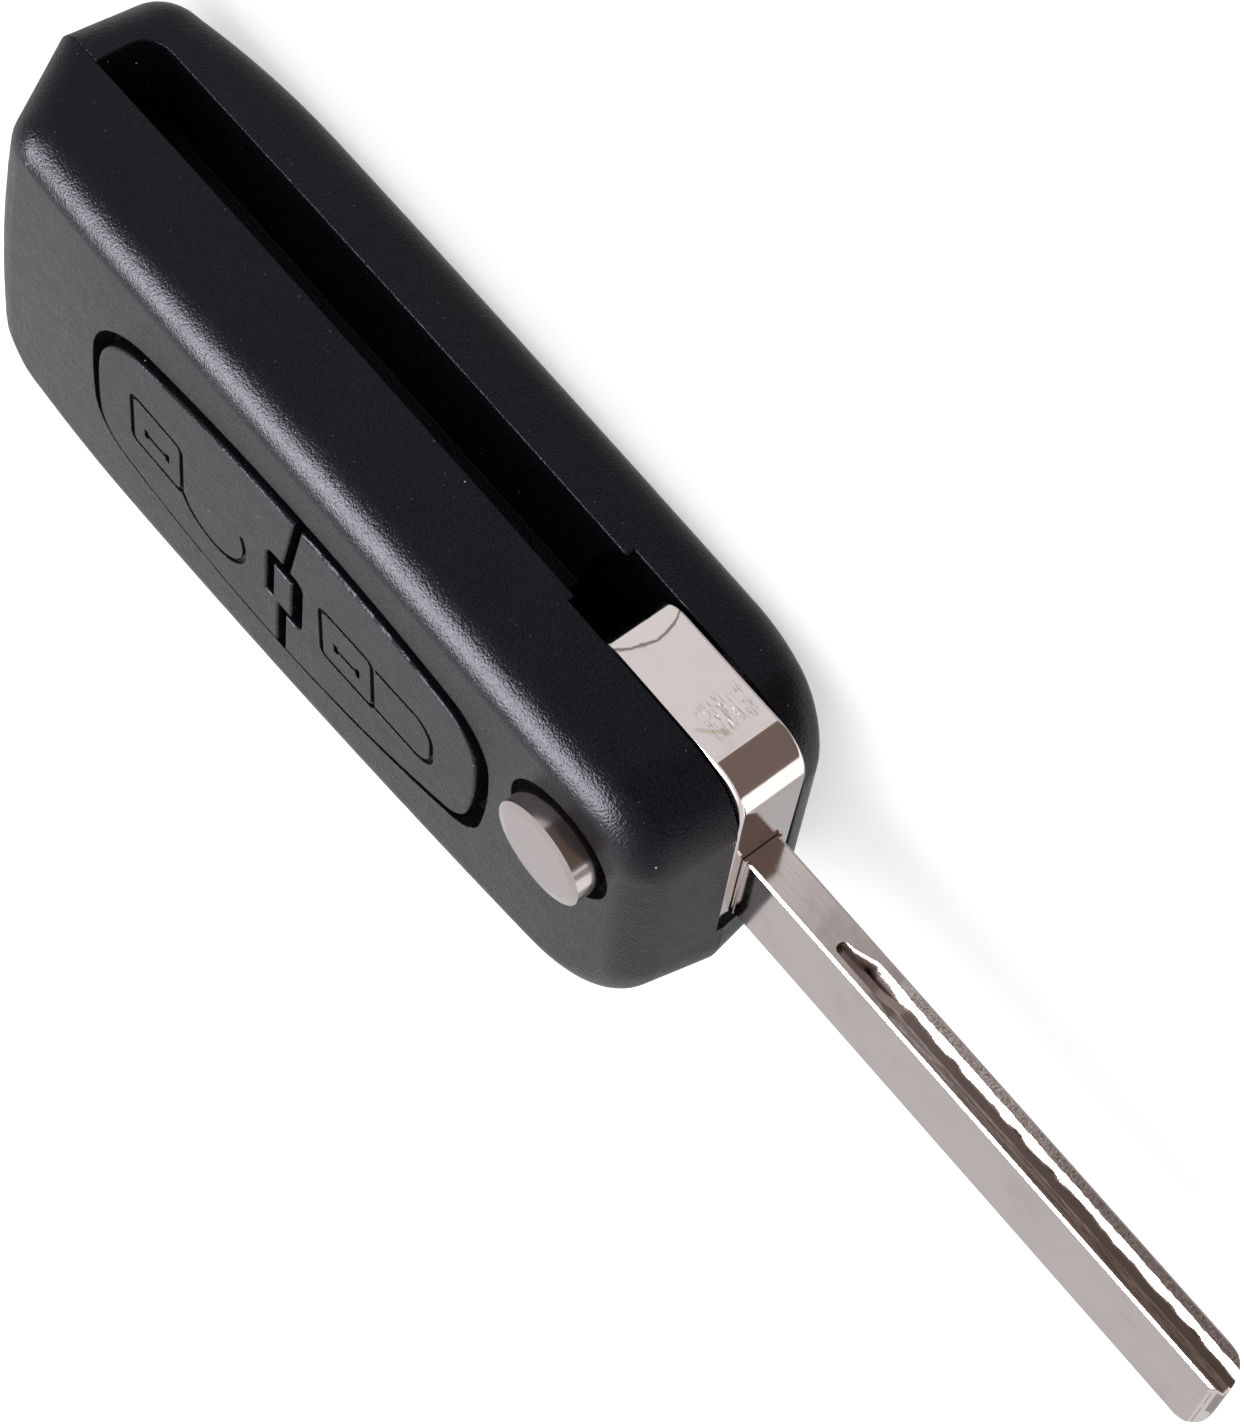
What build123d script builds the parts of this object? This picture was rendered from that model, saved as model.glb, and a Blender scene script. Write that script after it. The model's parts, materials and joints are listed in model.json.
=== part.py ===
"""Folding car key: a two-button fob shell with a flip-out blade, shown with the blade swung open.

Millimetres. The pivot of the blade stands at x = 0, y = 0 while the pieces are drawn: +X runs out
along the open blade, +Y is the side with the blade slot, and +Z comes out of the button face.
The last lines shift every piece so that the origin lies under the middle of the whole key.
"""
from build123d import *
import os

# Outline of the fob at its seam, measured from the blade's pivot
end_near = 8.4                 # pivot to the end that the blade leaves from
end_near_lean = 0.22           # how far that end leans back towards the slot side
end_far = 66.3                 # pivot to the key-ring end, at far_middle
end_far_slot = 63.45           # the same at the slot side
end_far_back = 66.2            # and at the opposite side
far_lean_front = 3.0           # how far that end leans in towards the front, beside the draft
far_lean_rear = -0.55          # and towards the rear
far_lean_back = 0.3            # share of the lean at the side away from the slot
far_middle = -8.0              # Y of the point that end_far is measured at
side_slot = 10.0               # pivot to the side with the blade slot
side_back = 26.0               # pivot to the opposite side, at its widest
side_slot_bow = 0.6            # how far the slot side bulges over its length
side_back_near = 20.15         # pivot to the opposite side, at the blade end
side_back_far = 26.2           # pivot to the opposite side, at the key-ring end
corner_near_slot = 5.2
corner_near_back = 9.1
corner_far_slot = 2.65
corner_far_back = 4.4
corner_growth = 3.0            # how much rounder the corners are at the two faces
draft_front = 1.3              # how far the outline draws in above the front face
draft_rear = 1.15              # and below the rear face

# Heights
mid_height = 8.15              # rear face to the blade's middle plane
fob_thickness = 18.25
fall_front_near = 0.75         # fall of the front face towards the blade end
fall_front_far = 1.1           # and towards the key-ring end
rise_rear_near = 4.5           # rise of the rear face towards the blade end
rise_rear_far = 3.2            # and towards the key-ring end
flat_from = -47.0              # the flat of the rear and front faces, along X
flat_to = -3.0
edge_front = 3.1               # rounding between the front face and the sides
edge_rear = 3.65               # between the rear face and the sides
hollow_sharper = 1.6           # how fast the rounding shrinks on the way inwards

# Shell mouldings
wall = 1.6
roof = 1.8                     # front face thickness
rib = 1.2
seam_gap = 0.06                # hairline between the two shells
post_diameter = 2.6

# Blade and its slot
blade_width = 8.0
blade_thickness = 3.0
blade_edge = 0.74              # pivot line to the blade's slot-side edge, when open
blade_out = 44.85              # length that stands out of the head
blade_chamfer = 0.3
blade_tip_slot = 0.4           # corner radius of the tip, slot side
blade_tip_back = 2.8           # and opposite side
blade_tip_rear = 2.2           # rounding of the tip towards its rear face
blade_tip_bevel = 0.9          # length of its bevel towards the front face
blade_tip_bevel_fall = 0.4
groove_width = 0.72
groove_depth = 1.0
groove_offset = 0.53           # groove's middle, from the blade's middle plane
groove_start = 8.2             # from the head to the groove's rounded start
scoop_radius = 1.3             # hollow shoulder beside the groove
scoop_depth = 0.45
scoop_run_in = 3.6
bead_height = 0.1              # rim round the blade where it enters the head
bead_width = 0.3
tang_length = 5.6
tang_width = 6.0
tang_thickness = 2.0
slot_clear = 0.85              # blade face to slot face
slot_edge_clear = 0.45         # closed blade to the slot's inner wall
slot_tip_clear = 7.0           # closed blade tip to the slot's end, for a fingernail
slot_end_radius = 2.0
slot_roof = 1.5                # plate of the front shell above the slot

# Blade head
head_thickness = 5.4
head_near = 8.05               # pivot to the face that holds the blade
head_far = 6.65                # pivot to the opposite end face
head_side = 9.45               # pivot to the face that shows in the slot
head_corner = 3.1              # rounding of the corner beside the slot, blade end
head_corner_far = 2.45         # and of the corners at the opposite end
head_corner_back = 0.8         # the corner away from the slot, blade end
head_stop = 0.3                # that corner to the case
head_edge = 0.35
head_clear_front = 0.15        # head to front shell
head_clear_rear = 0.35         # head to rear shell
head_pocket_radius = 13.5
collar_diameter = 11.4
collar_height = 1.6
collar_clear = 0.1             # collar's end to the bottom of its bearing
bearing_clear = 0.05           # radial, collar in its bearing
head_bore = 8.4
socket_clear = 0.03
pin_diameter = 1.5

# Release button
knob_x = -0.25                 # knob's middle, beside the pivot
knob_y = -0.9
knob_diameter = 8.0
knob_proud = 1.7
knob_edge = 0.7                # width of the shallow bevel round its top
knob_edge_fall = 0.15
knob_hole = 9.4
flange_diameter = 10.2
flange_wall = 0.7              # between the flange's recess and the caps' rims
flange_thickness = 1.0
flange_clear = 0.2
release_travel = 1.6
skirt_diameter = 7.6
skirt_wall = 0.9
skirt_length = 4.6
lug_width = 1.8
lug_reach = 0.6
slide_clear = 0.06             # play of a piece that slides

# Flip spring and its seat
spring_diameter = 4.6          # middle of the wire
spring_wire = 0.7
spring_turns = 3.0
seat_diameter = 7.4
seat_thickness = 1.4
seat_boss = 3.2
seat_boss_height = 1.5

# Button pad on the front face: corners before rounding and the middles of its bowed sides
pad_slot_far = (-49.6, -0.75)
pad_slot_middle = (-26.0, 2.4)
pad_slot_near = (-7.8, 1.1)
pad_end_near = (-6.95, -5.5)
pad_back_near = (-8.0, -13.4)
pad_back_middle = (-34.9, -18.4)
pad_back_far = (-50.3, -16.5)
pad_end_far = (-50.7, -10.0)
pad_round_slot_far = 8.2
pad_round_slot_near = 5.0
pad_round_back = 4.5
pad_gap = 1.05
pad_ledge = 0.5                # hidden rim that holds the caps in
pad_rim_clear = 0.25
cap_proud = 0.3
cap_edge = 0.2
cap_flange = 1.0
cap_travel = 0.4

# Parting of the two caps, with the tongue between them
slit_width = 0.75
slit_top = (-26.4, 6.0)
slit_foot = (-28.4, -6.4)
bay_from = (-30.45, -12.3)
bay_to = (-26.5, -5.7)
tongue_from = (-29.65, -11.7)
tongue_to = (-27.65, -7.0)
lower_slit_from = -29.15
lower_slit_to = -28.25
bay_round = 0.9

# Engraved padlocks
symbol_line = 0.45
symbol_depth = 0.3
symbol_tilt = 4.0
lock_length = 6.1
lock_width = 6.3
lock_round = 0.9
keyhole_length = 2.4
shackle_length = 6.8
shackle_width = 5.6
shackle_round = 2.1
shackle_gap = 0.6
closed_lock = (-21.55, -8.3)
open_lock = (-42.8, -9.0)
hook_centre = (-36.5, -10.2)
hook_radius = 3.65
hook_start = 205.0
hook_sweep = 180.0

# Rubber mat, board frame and battery contacts under the caps
mat_thickness = 1.0
mat_inset = 0.4
dome_height = 1.0
dome_diameter = 5.0
dome_clear = 0.1               # cap at the end of its travel to its dome
frame_length = 33.0
frame_width = 14.4
frame_x = -33.0
frame_y = -10.4
frame_plate = 1.0
frame_wall = 1.2
frame_round = 2.0
contact_thickness = 0.3
contact_length = 9.0
contact_width = 3.0
contact_drop = 4.2
contact_from_end = 8.5         # middle of each contact, from the end of the frame
rest_gap = 0.02                # pieces that lie against each other

# Fastening and key ring
ring_slot_length = 5.0
ring_slot_width = 2.0
ring_slot_wall = 1.8
ring_x = -62.0
ring_y = -23.1
screw_x = -57.0
screw_y = -6.2
screw_shank = 2.2
screw_head = 4.0
screw_head_height = 1.4
screw_sink = 1.6
screw_recess = 0.5
boss_wall = 1.3
insert_diameter = 3.4
insert_length = 4.0
fit_clear = 0.02               # piece pressed into a moulding

# Worked-out heights and places
seam = mid_height + blade_thickness / 2 + slot_clear
slot_low = mid_height - blade_thickness / 2 - slot_clear
head_low = mid_height - head_thickness / 2
head_high = mid_height + head_thickness / 2
pocket_low = head_low - head_clear_rear
pocket_high = head_high + head_clear_front
bearing_low = head_low - collar_height - collar_clear
bearing_high = head_high + collar_height + collar_clear
roof_under = fob_thickness - roof
flange_top = roof_under - slide_clear
flange_low = flange_top - flange_thickness
knob_top = fob_thickness + knob_proud
cap_top = fob_thickness + cap_proud
cap_under = roof_under - slide_clear
rim_low = cap_under - cap_flange
dome_top = rim_low - cap_travel - dome_clear
mat_top = dome_top - dome_height
mat_low = mat_top - mat_thickness
frame_low = seam
channel_inner = blade_edge - slot_edge_clear
channel_end = -(head_near + blade_out + slot_tip_clear)
partition = channel_inner - rib
blade_tip = head_near + blade_out
blade_mid_y = -blade_edge - blade_width / 2
pin_x = head_near - tang_length / 2
hub_radius = head_pocket_radius + rib
boss_radius = insert_diameter / 2 + boss_wall
tall = 3 * fob_thickness


def round_corner(plan, x, y, radius):
    """Rounds the corner of a plan that lies nearest to a given point."""
    nearest = min(plan.vertices(), key=lambda v: (v.X - x) ** 2 + (v.Y - y) ** 2)
    fillet(nearest, radius)


def outline(inset=0.0, growth=0.0, lean=0.0):
    """Plan outline of the fob, moved inwards, its corners rounded one by one."""
    near, far = end_near - inset, -end_far + inset + lean
    far_slot = -end_far_slot + inset + lean
    far_back = -end_far_back + inset + far_lean_back * lean
    near_slot, near_back = near - end_near_lean, near + end_near_lean
    slot, slot_end = side_slot - inset, side_slot - side_slot_bow - inset
    back = -side_back + inset
    back_near, back_far = -side_back_near + inset, -side_back_far + inset
    more = growth - inset
    with BuildSketch() as plan:
        with BuildLine():
            ThreePointArc((far_slot, slot_end), ((near + far) / 2, slot), (near_slot, slot_end))
            Line((near_slot, slot_end), (near_back, back_near))
            widest = (0.35 * near + 0.65 * far, back)
            ThreePointArc((near_back, back_near), widest, (far_back, back_far))
            ThreePointArc((far_back, back_far), (far, far_middle), (far_slot, slot_end))
        make_face()
        round_corner(plan, near_slot, slot_end, corner_near_slot + more)
        round_corner(plan, near_back, back_near, corner_near_back + more)
        round_corner(plan, far_slot, slot_end, corner_far_slot + more)
        round_corner(plan, far_back, back_far, corner_far_back + more)
    return plan.sketch


def prism(face, low, high):
    """A plan face raised between two heights."""
    return Pos(0, 0, low) * extrude(face, high - low)


def block(x_from, x_to, y_from, y_to, z_from, z_to):
    """A box given by its limits."""
    centre = ((x_from + x_to) / 2, (y_from + y_to) / 2, (z_from + z_to) / 2)
    return Pos(*centre) * Box(x_to - x_from, y_to - y_from, z_to - z_from)


def slab(low, high):
    """A layer wider than the whole key."""
    return block(-2 * end_far, 2 * end_far, -2 * side_back, 2 * side_back, low, high)


def drum(x, y, radius, low, high):
    """An upright cylinder between two heights."""
    return Pos(x, y, (low + high) / 2) * Cylinder(radius, high - low)


def side_profile(inset=0.0):
    """The fob's long section: flat in the middle, falling away in arcs towards both ends."""
    low, top = inset, fob_thickness - inset
    near, far = end_near + 1, -end_far - 1
    with BuildSketch(Plane.XZ) as section:
        with BuildLine():
            Line((flat_from, low), (flat_to, low))
            TangentArc((flat_to, low), (near, low + rise_rear_near), tangent=(1, 0))
            Line((near, low + rise_rear_near), (near, top - fall_front_near))
            TangentArc((flat_to, top), (near, top - fall_front_near), tangent=(1, 0))
            Line((flat_to, top), (flat_from, top))
            TangentArc((flat_from, top), (far, top - fall_front_far), tangent=(-1, 0))
            Line((far, top - fall_front_far), (far, low + rise_rear_far))
            TangentArc((flat_from, low), (far, low + rise_rear_far), tangent=(-1, 0))
        make_face()
    return section.sketch


def crosses_face(edge):
    """True for the seams between the flat and the falling parts of a face."""
    size = edge.bounding_box().size
    return size.X < 0.01 and size.Y > side_back


def fob_body(inset=0.0, ease=fillet):
    """The fob as one block with rounded rims, or its hollow: moved inwards, rims bevelled."""
    waist = Pos(0, 0, seam) * outline(inset)
    above = Pos(0, 0, fob_thickness + 1) * outline(inset + draft_front, corner_growth, far_lean_front)
    below = Pos(0, 0, -1) * outline(inset + draft_rear, corner_growth, far_lean_rear)
    body = loft([waist, above], ruled=True) + loft([below, waist], ruled=True)
    body = body & extrude(side_profile(inset), 2 * side_back, both=True)
    high = fob_thickness - inset - fall_front_far - 0.3
    rim = [e for e in body.edges() if e.center().Z > high and not crosses_face(e)]
    body = ease(rim, edge_front - hollow_sharper * inset)
    low = inset + rise_rear_near + 0.3
    rim = [e for e in body.edges() if e.center().Z < low and not crosses_face(e)]
    return ease(rim, edge_rear - hollow_sharper * inset)


def slot_cut():
    """Space of the closed blade, open to the side, its far end rounded down to the floor."""
    cut = block(channel_end, 0, channel_inner, 2 * side_slot, slot_low, tall)
    end_wall = cut.faces().sort_by(Axis.X)[0]
    return fillet(end_wall.edges().sort_by(Axis.Z)[0], slot_end_radius)


def ring_slot(margin, low):
    """Upright slot through the corner that a split ring passes, or the wall round it."""
    with BuildSketch() as plan:
        with Locations(Location((ring_x, ring_y), -45)):
            SlotOverall(ring_slot_length + 2 * margin, ring_slot_width + 2 * margin)
    return prism(plan.sketch, low, tall)


def shell_core():
    """What stays solid inside both shells: the hub, the key-ring wall and the screw boss."""
    core = drum(0, 0, hub_radius, -1, tall)
    core += ring_slot(ring_slot_wall, -1)
    return core + drum(screw_x, screw_y, boss_radius, -1, tall)


def inward(point, side_x, side_y, inset):
    """Moves a point of the pad's outline inwards, away from the sides it lies on."""
    return (point[0] - side_x * inset, point[1] - side_y * inset)


def pad_plan(inset=0.0):
    """The bowed oval of the two buttons, moved inwards or outwards."""
    slot_far = inward(pad_slot_far, -1, 1, inset)
    slot_near = inward(pad_slot_near, 1, 1, inset)
    back_near = inward(pad_back_near, 1, -1, inset)
    back_far = inward(pad_back_far, -1, -1, inset)
    with BuildSketch() as plan:
        with BuildLine():
            ThreePointArc(slot_far, inward(pad_slot_middle, 0, 1, inset), slot_near)
            ThreePointArc(slot_near, inward(pad_end_near, 1, 0, inset), back_near)
            ThreePointArc(back_near, inward(pad_back_middle, 0, -1, inset), back_far)
            ThreePointArc(back_far, inward(pad_end_far, -1, 0, inset), slot_far)
        make_face()
        round_corner(plan, *slot_far, pad_round_slot_far - inset)
        round_corner(plan, *slot_near, pad_round_slot_near - inset)
        round_corner(plan, *back_near, pad_round_back - inset)
        round_corner(plan, *back_far, pad_round_back - inset)
    return plan.sketch


def rectangle(corner, opposite):
    """A plan rectangle given by two opposite corners."""
    x, y = (corner[0] + opposite[0]) / 2, (corner[1] + opposite[1]) / 2
    return Pos(x, y) * Rectangle(opposite[0] - corner[0], opposite[1] - corner[1])


def cap_slits():
    """Slits that part the two caps and free three sides of the tongue between them."""
    lean = Vector(slit_foot[0] - slit_top[0], slit_foot[1] - slit_top[1])
    middle = Vector(slit_foot[0] + slit_top[0], slit_foot[1] + slit_top[1]) / 2
    upper = Pos(middle.X, middle.Y) * Rot(0, 0, lean.get_signed_angle(Vector(0, -1)))
    slits = upper * Rectangle(slit_width, lean.length)
    bay = rectangle(bay_from, bay_to)
    bay = fillet(bay.vertices(), bay_round)
    bay -= rectangle(tongue_from, tongue_to)
    neck = (lower_slit_from, tongue_from[1] + 0.1)
    bay -= rectangle((bay_from[0] - 1, bay_from[1] - 1), neck)
    foot = rectangle((lower_slit_from, -side_back), (lower_slit_to, bay_from[1] + 0.3))
    return slits + bay + foot


def padlock():
    """Outline of a padlock's body that lies along X, with its keyhole."""
    line = symbol_line
    with BuildSketch() as plan:
        RectangleRounded(lock_length, lock_width, lock_round)
        RectangleRounded(lock_length - 2 * line, lock_width - 2 * line, lock_round - line,
                         mode=Mode.SUBTRACT)
        with Locations((0, -line)):
            Rectangle(keyhole_length, line)
            with Locations((-keyhole_length / 2, 0), (keyhole_length / 2, 0)):
                Rectangle(line, 2.4 * line)
    return plan.sketch


def shackle():
    """Outline of a closed shackle that starts at the padlock's body, along X."""
    line = symbol_line
    with BuildSketch() as plan:
        RectangleRounded(2 * shackle_length, shackle_width, shackle_round)
        RectangleRounded(2 * (shackle_length - line), shackle_width - 2 * line,
                         shackle_round - line, mode=Mode.SUBTRACT)
        with Locations((-shackle_length / 2, 0)):
            Rectangle(shackle_length, shackle_width, mode=Mode.SUBTRACT)
        with Locations((shackle_gap / 2, shackle_width / 2)):
            Rectangle(shackle_gap, shackle_width, mode=Mode.SUBTRACT)
    return Pos(lock_length / 2 - line, 0) * plan.sketch


def hook():
    """Arc of the open shackle."""
    return SlotArc(CenterArc(hook_centre, hook_radius, hook_start, hook_sweep), symbol_line)


def button_cap(order, sign):
    """One of the two caps: raised face, hidden rim and engraved sign. Order 0 is the far one."""
    slits = cap_slits()
    face = (pad_plan(pad_gap) - slits).faces().sort_by(Axis.X)[order]
    rim = (pad_plan(-pad_ledge) - slits).faces().sort_by(Axis.X)[order]
    cap = prism(face, rim_low, cap_top)
    cap = fillet(cap.faces().sort_by(Axis.Z)[-1].edges(), cap_edge)
    cap += prism(rim, rim_low, cap_under)
    return cap - prism(sign, cap_top - symbol_depth, tall)


def pad_pocket():
    """Space under the front face for the caps' rims and the mat, clear of the knob's flange."""
    pocket = prism(pad_plan(-pad_ledge - pad_rim_clear), mat_low - pad_rim_clear, roof_under)
    return pocket - drum(knob_x, knob_y, flange_diameter / 2 + flange_clear + flange_wall, 0, tall)


def head_pocket(low, high):
    """Round space that the head turns in, closed where the head's square corner comes to rest."""
    pocket = drum(0, 0, head_pocket_radius, low, high)
    stop = head_near - head_corner_back
    return pocket - block(stop, 2 * end_near, -side_back, -head_side - head_stop, low, high)


def front_shell():
    """Upper shell: roof, walls, pad opening, knob hole, bearing and screw boss."""
    shell = fob_body() & slab(seam + seam_gap / 2, tall)
    hollow = fob_body(wall, chamfer) & slab(0, roof_under)
    hollow -= shell_core()
    hollow -= block(-end_far, 0, partition, side_slot, 0, seam + slot_roof)
    shell -= hollow
    shell -= prism(pad_plan(), roof_under - 1, tall)
    shell -= pad_pocket()
    shell -= head_pocket(0, pocket_high)
    shell -= drum(0, 0, collar_diameter / 2 + bearing_clear, 0, bearing_high)
    shell -= drum(knob_x, knob_y, flange_diameter / 2 + flange_clear, bearing_high, roof_under)
    shell -= drum(knob_x, knob_y, knob_hole / 2, roof_under - 1, tall)
    shell -= lug_bar(flange_clear, slide_clear, bearing_high - 1, roof_under)
    shell -= ring_slot(0, 0)
    insert_hole = insert_diameter / 2 + fit_clear
    return shell - drum(screw_x, screw_y, insert_hole, 0, seam + insert_length + 0.3)


def rear_shell():
    """Lower shell: floor, walls, blade channel, hub with its bearing, screw boss and posts."""
    shell = fob_body() & slab(-1, seam - seam_gap / 2)
    hollow = fob_body(wall, chamfer) - shell_core()
    hollow -= block(-end_far, 0, partition, side_slot, 0, tall)
    for x in (frame_x - frame_length / 2 + 2, frame_x + frame_length / 2 - 2):
        for y in (frame_y - frame_width / 2 + 2, frame_y + frame_width / 2 - 2):
            hollow -= drum(x, y, post_diameter / 2, 0, frame_low - rest_gap)
    shell -= hollow
    shell -= slot_cut()
    shell -= head_pocket(pocket_low, tall)
    shell -= drum(0, 0, collar_diameter / 2 + bearing_clear, bearing_low, tall)
    shell -= drum(0, 0, seat_diameter / 2 + fit_clear, bearing_low - seat_thickness, tall)
    shell -= ring_slot(0, -1)
    shell -= drum(screw_x, screw_y, screw_shank / 2 + 0.2, -1, tall)
    return shell - drum(screw_x, screw_y, screw_head / 2 + 0.2, -1, screw_sink + screw_head_height)


def head_plan():
    """Plan of the blade head."""
    with BuildSketch() as plan:
        with Locations(((head_near - head_far) / 2, 0)):
            Rectangle(head_near + head_far, 2 * head_side)
        for side in (-head_side, head_side):
            round_corner(plan, -head_far, side, head_corner_far)
        round_corner(plan, head_near, head_side, head_corner)
        round_corner(plan, head_near, -head_side, head_corner_back)
    return plan.sketch


def tang(clear=0.0):
    """The part of the blade that sits inside the head, or its socket when it has clearance."""
    half_width, half_height = tang_width / 2 + clear, tang_thickness / 2 + clear
    return block(head_near - tang_length - clear, head_near + clear, blade_mid_y - half_width,
                 blade_mid_y + half_width, mid_height - half_height, mid_height + half_height)


def pin_hole():
    """Hole for the blade's pin, through head and tang."""
    return drum(pin_x, blade_mid_y, pin_diameter / 2 + fit_clear, 0, tall)


def blade_head():
    """Die-cast head: two bearing collars, a bore for the mechanism and the blade's socket."""
    head = prism(head_plan(), head_low, head_high)
    faces = head.faces().sort_by(Axis.Z)
    head = fillet(faces[0].edges() + faces[-1].edges(), head_edge)
    head += drum(0, 0, collar_diameter / 2, head_low - collar_height, head_high + collar_height)
    head -= drum(0, 0, head_bore / 2, -1, tall)
    return head - tang(socket_clear) - pin_hole()


def edge_groove():
    """Cutter for one narrow edge, at the origin: a deep groove and the hollow shoulder by it."""
    run = 2 * blade_out
    half = groove_width / 2
    cut = block(0, run, -groove_depth, groove_depth, groove_offset - half, groove_offset + half)
    cut += Pos(0, 0, groove_offset) * Rot(90, 0, 0) * Cylinder(half, 2 * groove_depth)
    height = groove_offset - half + 0.1
    align = (Align.CENTER, Align.CENTER, Align.MIN)
    scoop = Cone(scoop_radius - scoop_depth, scoop_radius, scoop_run_in, align=align)
    scoop += Pos(0, 0, scoop_run_in) * Cylinder(scoop_radius, run, align=align)
    scoop = Pos(0.5, scoop_radius - scoop_depth, height) * Rot(0, 90, 0) * scoop
    return cut + (scoop & block(0, run, -scoop_radius, scoop_radius, -tall, groove_offset))


def blade_profile():
    """Long section of the blade, its tip rounded towards the rear and bevelled to the front."""
    low, high = mid_height - blade_thickness / 2, mid_height + blade_thickness / 2
    with BuildSketch(Plane.XZ) as section:
        with BuildLine():
            Polyline((0, low), (blade_tip, low), (blade_tip, high - blade_tip_bevel_fall),
                     (blade_tip - blade_tip_bevel, high), (0, high), close=True)
        make_face()
        round_corner(section, blade_tip, low, blade_tip_rear)
    return extrude(section.sketch, side_back, both=True)


def key_blade():
    """The steel blade with its tang, chamfered edges, rounded tip and two edge grooves."""
    back, slot = blade_mid_y - blade_width / 2, blade_mid_y + blade_width / 2
    plan = rectangle((head_near, back), (blade_tip, slot))
    tip = plan.vertices().sort_by(Axis.X)[-2:].sort_by(Axis.Y)
    plan = fillet(tip[0], blade_tip_back)
    tip = plan.vertices().sort_by_distance((blade_tip, slot, 0))[0]
    plan = fillet(tip, blade_tip_slot)
    blade = prism(plan, mid_height - blade_thickness / 2, mid_height + blade_thickness / 2)
    faces = blade.faces().sort_by(Axis.Z)
    rims = [e for e in faces[0].edges() + faces[-1].edges() if e.center().X > head_near + 0.1]
    blade = chamfer(rims, blade_chamfer) & blade_profile()
    groove = Pos(groove_start, blade_width / 2, 0) * edge_groove()
    for turn in (0, 180):
        blade -= Pos(head_near, blade_mid_y, mid_height) * Rot(turn, 0, 0) * groove
    bead = block(head_near + rest_gap, head_near + bead_width, back - bead_height,
                 slot + bead_height, mid_height - blade_thickness / 2 - bead_height,
                 mid_height + blade_thickness / 2 + bead_height)
    blade += fillet(bead.edges(), bead_height)
    return blade + tang() - pin_hole()


def blade_pin():
    """Rolled spring pin that holds the blade in the head."""
    pin = drum(pin_x, blade_mid_y, pin_diameter / 2, head_low + 0.1, head_high - 0.1)
    return pin - drum(pin_x, blade_mid_y, pin_diameter / 4, 0, tall)


def lug_bar(reach_clear, side_clear, low, high):
    """Bar across the knob's flange that keeps it from turning, or the room it slides in."""
    reach = flange_diameter / 2 + lug_reach + reach_clear
    half = lug_width / 2 + side_clear
    return block(knob_x - half, knob_x + half, knob_y - reach, knob_y + reach, low, high)


def release_button():
    """Plated knob with a retaining flange, a hollow skirt and two guide lugs."""
    knob = drum(knob_x, knob_y, knob_diameter / 2, flange_low, knob_top)
    knob = chamfer(knob.faces().sort_by(Axis.Z)[-1].edges(), knob_edge_fall, knob_edge)
    knob += drum(knob_x, knob_y, flange_diameter / 2, flange_low, flange_top)
    knob += lug_bar(0, 0, flange_low, flange_top)
    knob += drum(0, 0, skirt_diameter / 2, flange_low - skirt_length, flange_low)
    return knob - drum(0, 0, skirt_diameter / 2 - skirt_wall, 0, flange_low + 0.4)


def flip_spring():
    """Coil spring between the seat and the release button, drawn at its pressed length."""
    low = bearing_low + spring_wire / 2 + rest_gap
    height = flange_low + 0.4 - release_travel - spring_wire / 2 - rest_gap - low
    path = Helix(height / spring_turns, height, spring_diameter / 2)
    wire = Plane(origin=path @ 0, z_dir=path % 0) * RegularPolygon(spring_wire / 2, 6)
    return Pos(0, 0, low) * sweep(wire, path, is_frenet=True)


def spring_seat():
    """Cap under the head that anchors the spring in the rear shell."""
    low = bearing_low - seat_thickness
    seat = drum(0, 0, seat_diameter / 2, low + rest_gap, bearing_low)
    return seat + drum(0, 0, seat_boss / 2, low + rest_gap, bearing_low + seat_boss_height)


def button_mat():
    """Rubber mat under the caps, with a raised dome below each button."""
    mat = prism(pad_plan(mat_inset), mat_low, mat_top)
    for x, y in (closed_lock, open_lock):
        mat += drum(x, y, dome_diameter / 2, mat_low, dome_top)
    return mat


def frame_plan(inset=0.0):
    """Rounded rectangle of the board frame, moved inwards."""
    plan = RectangleRounded(frame_length - 2 * inset, frame_width - 2 * inset, frame_round - inset)
    return Pos(frame_x, frame_y) * plan


def board_frame():
    """Tray that presses the mat against the caps and has room for a circuit board."""
    top = mat_low - rest_gap
    tray = prism(frame_plan(), frame_low, top)
    return tray - prism(frame_plan(frame_wall), frame_low - 1, top - frame_plate)


def contact(side):
    """Bent strip that touches the battery's rim, on the underside of the frame's plate."""
    high = mat_low - frame_plate - 2 * rest_gap
    x = frame_x + side * (frame_length / 2 - contact_from_end)
    half = contact_width / 2
    low = high - contact_thickness
    strip = block(x - contact_length / 2, x + contact_length / 2, frame_y - half,
                  frame_y + half, low, high)
    inner = x - side * contact_length / 2
    edge = inner + side * contact_thickness
    return strip + block(min(inner, edge), max(inner, edge), frame_y - half, frame_y + half,
                         high - contact_drop, high)


def case_screw():
    """Cross-head screw that draws the two shells together from the rear."""
    top = seam + insert_length - 0.4
    screw = drum(screw_x, screw_y, screw_shank / 2, screw_sink, top)
    screw += drum(screw_x, screw_y, screw_head / 2, screw_sink, screw_sink + screw_head_height)
    for angle in (0, 90):
        cross = Box(screw_shank, screw_recess, 2 * screw_shank / 2)
        screw -= Pos(screw_x, screw_y, screw_sink) * Rot(0, 0, angle) * cross
    return screw


def screw_insert():
    """Threaded brass sleeve in the front shell's boss."""
    sleeve = drum(screw_x, screw_y, insert_diameter / 2, seam + 0.1, seam + 0.1 + insert_length)
    return sleeve - drum(screw_x, screw_y, screw_shank / 2 + fit_clear, 0, tall)


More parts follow.
